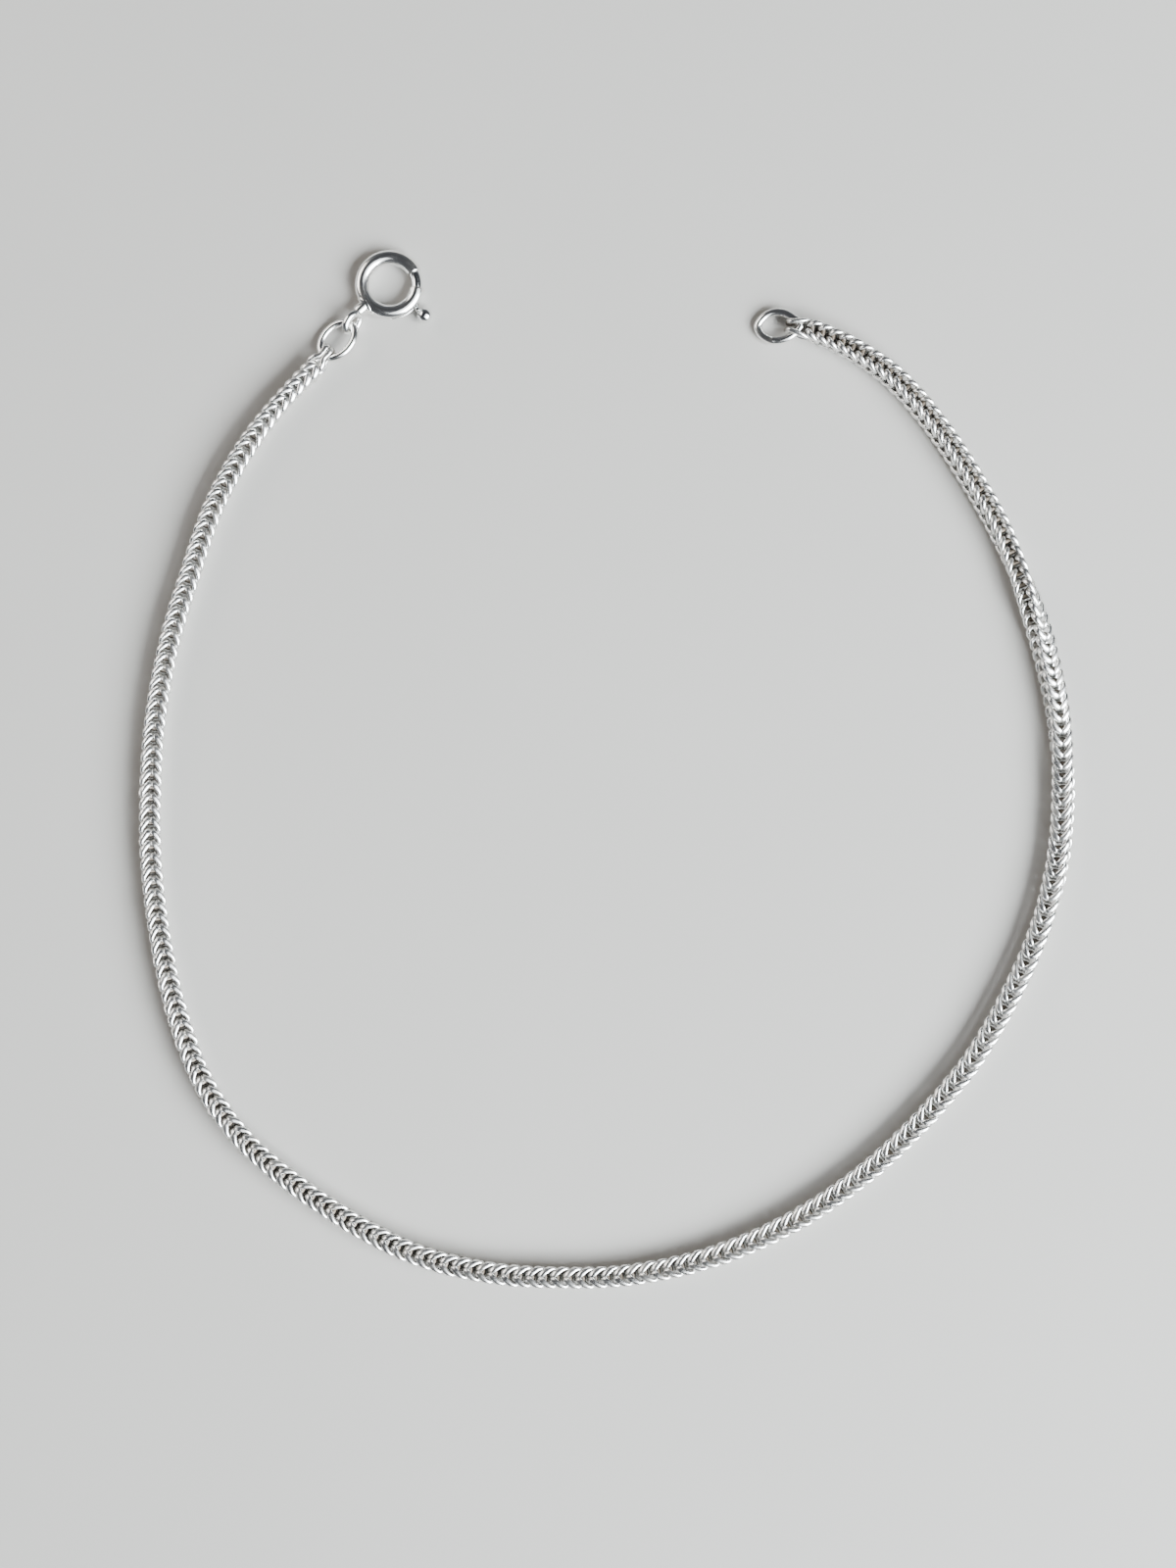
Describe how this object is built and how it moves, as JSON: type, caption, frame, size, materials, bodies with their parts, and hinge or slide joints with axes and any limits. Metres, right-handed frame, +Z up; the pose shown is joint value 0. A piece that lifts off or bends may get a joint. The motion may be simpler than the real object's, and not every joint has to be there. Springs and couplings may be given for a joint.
{
  "type": "foxtail chain bracelet",
  "caption": "Slim foxtail (loop-in-loop) chain bracelet lying open, with an oval end ring and a small round spring ring clasp whose bolt slides open.",
  "frame": {"origin": "centre of the lying bracelet's box, on the surface that it lies on", "axes": "+Z up from that surface, +Y along the loop's longer side towards the clasp, +X towards the end ring's side"},
  "size_m": [0.0806, 0.0895, 0.0019],
  "materials": {
    "chain_silver": "bright silver with tarnish in the hollows between the links",
    "ring_silver": "polished silver wire with fine wear",
    "clasp_silver": "polished silver tube with fine scratches"
  },
  "bodies": {
    "bracelet": {"foxtail_chain": "chain_silver", "first_link": "chain_silver", "last_link": "chain_silver", "clasp_jump_ring": "ring_silver", "end_jump_ring": "ring_silver", "spring_ring": "clasp_silver"},
    "bolt": {"spring_bolt": "clasp_silver"}
  },
  "joints": [
    {"name": "bolt_slide", "type": "hinge", "parent": "bracelet", "child": "bolt", "pos_m": [-0.01871, 0.04173, 0.0007], "axis": [-0.025, -0.0218, -0.9995], "range_deg": [0, 40], "stiffness_Nm_per_rad": 0.002, "springref_deg": -17.19}
  ]
}
